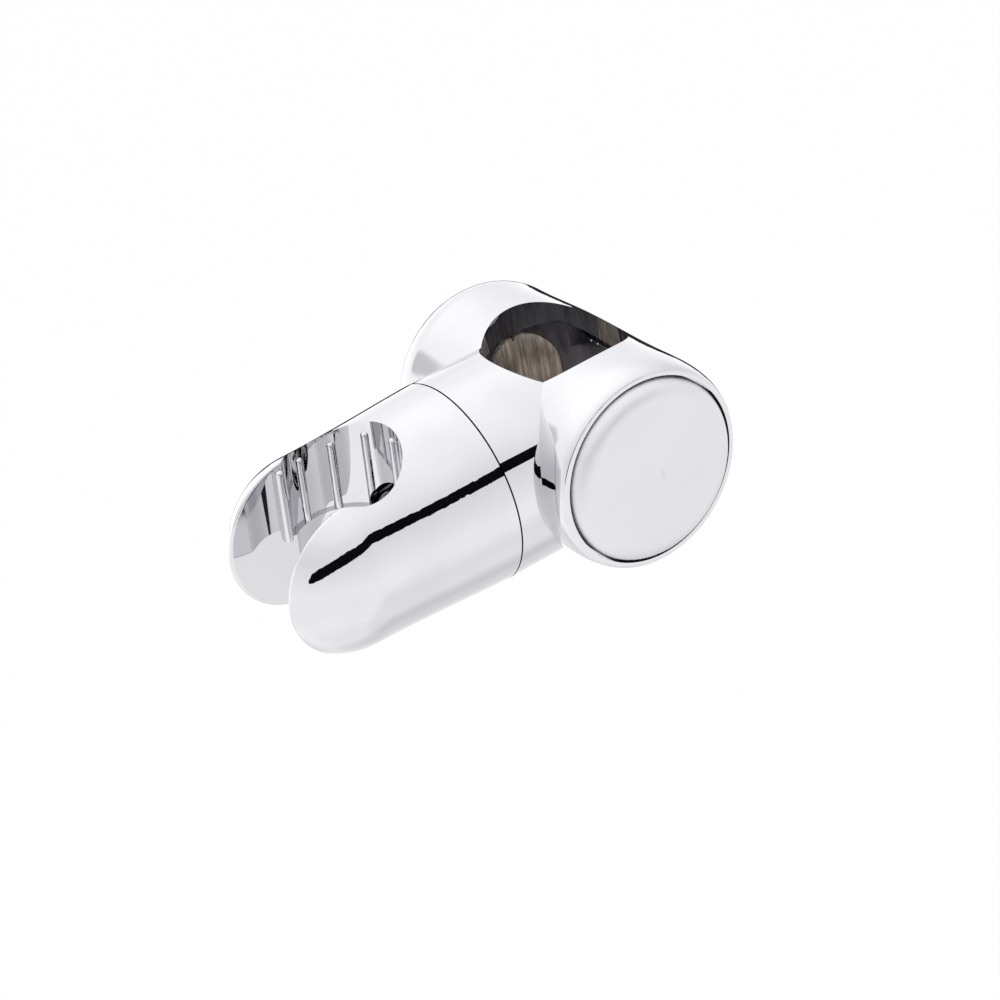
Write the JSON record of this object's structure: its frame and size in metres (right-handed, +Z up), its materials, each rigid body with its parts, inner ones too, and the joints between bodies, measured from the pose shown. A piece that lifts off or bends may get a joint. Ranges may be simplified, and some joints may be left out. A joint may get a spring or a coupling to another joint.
{
  "type": "shower rail slider",
  "caption": "T-shaped slider that clamps a round shower rail by a spring brake, with a release button and a swivelling slotted holder for a hand shower.",
  "frame": {"origin": "where the rail's axis crosses the axis of the cross barrel", "axes": "+X along the barrel to the button, -Y along the arm to the handset holder, +Z up the rail"},
  "size_m": [0.0599, 0.083, 0.0372],
  "materials": {
    "chrome_plating": "polished",
    "button_chrome": "polished",
    "slide_acetal": "moulded",
    "bearing_acetal": "moulded",
    "steel": "turned",
    "spring_steel": "drawn",
    "pad_rubber": "moulded",
    "ring_rubber": "moulded",
    "brass": "turned"
  },
  "bodies": {
    "body": {"slider_body": "chrome_plating", "retaining_ring": "spring_steel", "return_spring": "spring_steel", "threaded_insert": "brass", "stop_pin": "steel", "friction_disc": "bearing_acetal", "swivel_screw": "steel", "plain_washer": "steel", "spring_washer": "spring_steel"},
    "button": {"button_cap": "button_chrome", "button_carrier": "slide_acetal", "button_screws": "steel", "brake_slide": "slide_acetal", "brake_shoe": "steel", "brake_pad": "pad_rubber", "shoe_screw": "steel"},
    "holder": {"handset_holder": "chrome_plating", "pivot_bush": "bearing_acetal", "swivel_o_ring": "ring_rubber"}
  },
  "joints": [
    {"name": "holder_swivel", "type": "hinge", "parent": "body", "child": "holder", "pos_m": [0, -0.0239, 0], "axis": [0, 1, 0], "range_deg": [-67.6, 52.4]},
    {"name": "button_press", "type": "slide", "parent": "body", "child": "button", "axis": [-1, 0, 0], "range_m": [-0.0008, 0.002], "stiffness_N_per_m": 2000, "springref_m": -0.003, "deforming": ["return_spring"]}
  ]
}
